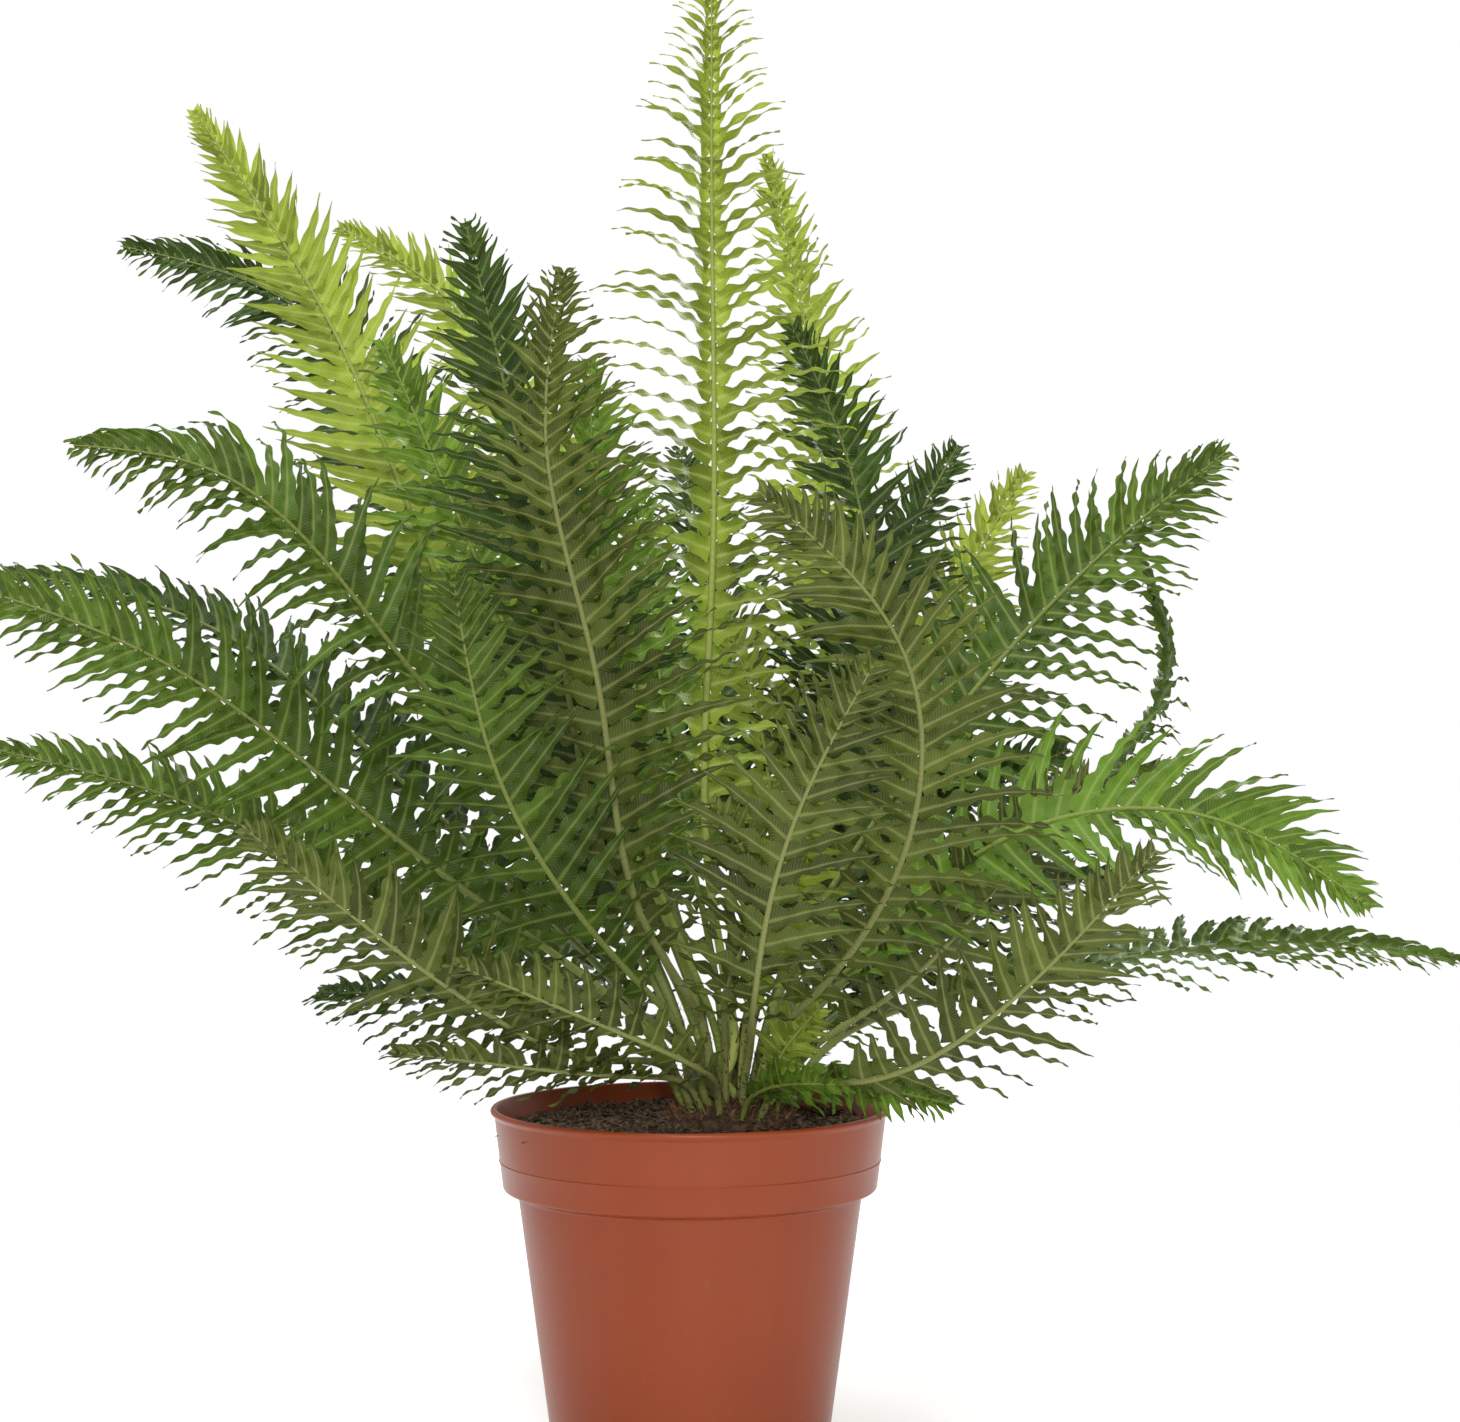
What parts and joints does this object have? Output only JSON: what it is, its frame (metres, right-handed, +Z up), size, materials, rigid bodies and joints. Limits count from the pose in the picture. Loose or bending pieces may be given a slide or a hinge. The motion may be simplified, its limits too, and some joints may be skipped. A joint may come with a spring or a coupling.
{
  "type": "potted fern",
  "caption": "Bushy green fern whose long wavy-edged fronds spring from one crown in a plain round tapered plastic nursery pot with a deep collar.",
  "frame": {"origin": "centre of the pot's underside, on the surface the pot stands on", "axes": "+Z up along the pot's axis, -Y towards the side the plant is seen from, +X to that viewer's right"},
  "size_m": [0.77, 0.5131, 0.73],
  "materials": {
    "pot_plastic": "satin moulded terracotta-coloured plastic",
    "potting_mix": "dark fibrous peat and bark, matte",
    "crown_scales": "dry brown scales, matte",
    "leaf_young": "thin, bright yellow-green, slightly translucent",
    "leaf_mature": "mid green, satin above, dull below",
    "leaf_dark": "deep green, glossy above, dull below",
    "leaf_olive": "dull olive green with light veins"
  },
  "bodies": {
    "root": {"pot": "pot_plastic", "soil": "potting_mix", "crown": "crown_scales", "frond_tall_centre": "leaf_young", "frond_tall_left_front": "leaf_olive", "frond_upper_left_bright": "leaf_young", "frond_rear_left_tip": "leaf_young", "frond_upper_left_dark": "leaf_dark", "frond_left_mid_tall": "leaf_dark", "frond_rear_right_tip": "leaf_young", "frond_right_centre_dark": "leaf_dark", "frond_front_arch": "leaf_olive", "frond_right_high": "leaf_mature", "frond_right_dark_tip": "leaf_dark", "frond_right_bright_rear": "leaf_young", "frond_right_curl": "leaf_mature", "frond_right_bright_arch": "leaf_young", "frond_far_right": "leaf_mature", "frond_low_right_front": "leaf_olive", "frond_low_right_mid": "leaf_olive", "frond_front_olive": "leaf_olive", "frond_front_small": "leaf_olive", "frond_unrolling": "leaf_young", "frond_left_front": "leaf_mature", "frond_left_high": "leaf_mature", "frond_left_mid_dark": "leaf_dark", "frond_left_mid_green": "leaf_mature", "frond_left_low_green": "leaf_mature", "frond_left_low_olive": "leaf_olive", "frond_low_left_brown": "leaf_olive", "frond_front_hanging": "leaf_olive", "frond_rear_centre_left": "leaf_mature", "frond_left_inner": "leaf_mature", "frond_rear_centre_right": "leaf_young", "frond_right_inner": "leaf_dark", "frond_right_low_rear": "leaf_dark", "frond_left_low_rear": "leaf_dark", "frond_rear_left_inner": "leaf_mature", "frond_rear_centre": "leaf_dark", "frond_rear_right_inner": "leaf_mature", "frond_rear_low_left": "leaf_dark", "frond_rear_low_right": "leaf_mature", "frond_rear_arch_left": "leaf_olive", "frond_rear_arch_right": "leaf_dark", "frond_rear_left_low": "leaf_mature", "frond_rear_right_low": "leaf_olive", "frond_upper_left_inner": "leaf_mature", "frond_low_front_lobed": "leaf_mature", "frond_low_right_upright": "leaf_young", "frond_low_right_small": "leaf_young", "frond_low_rear_small": "leaf_mature"}
  },
  "joints": []
}
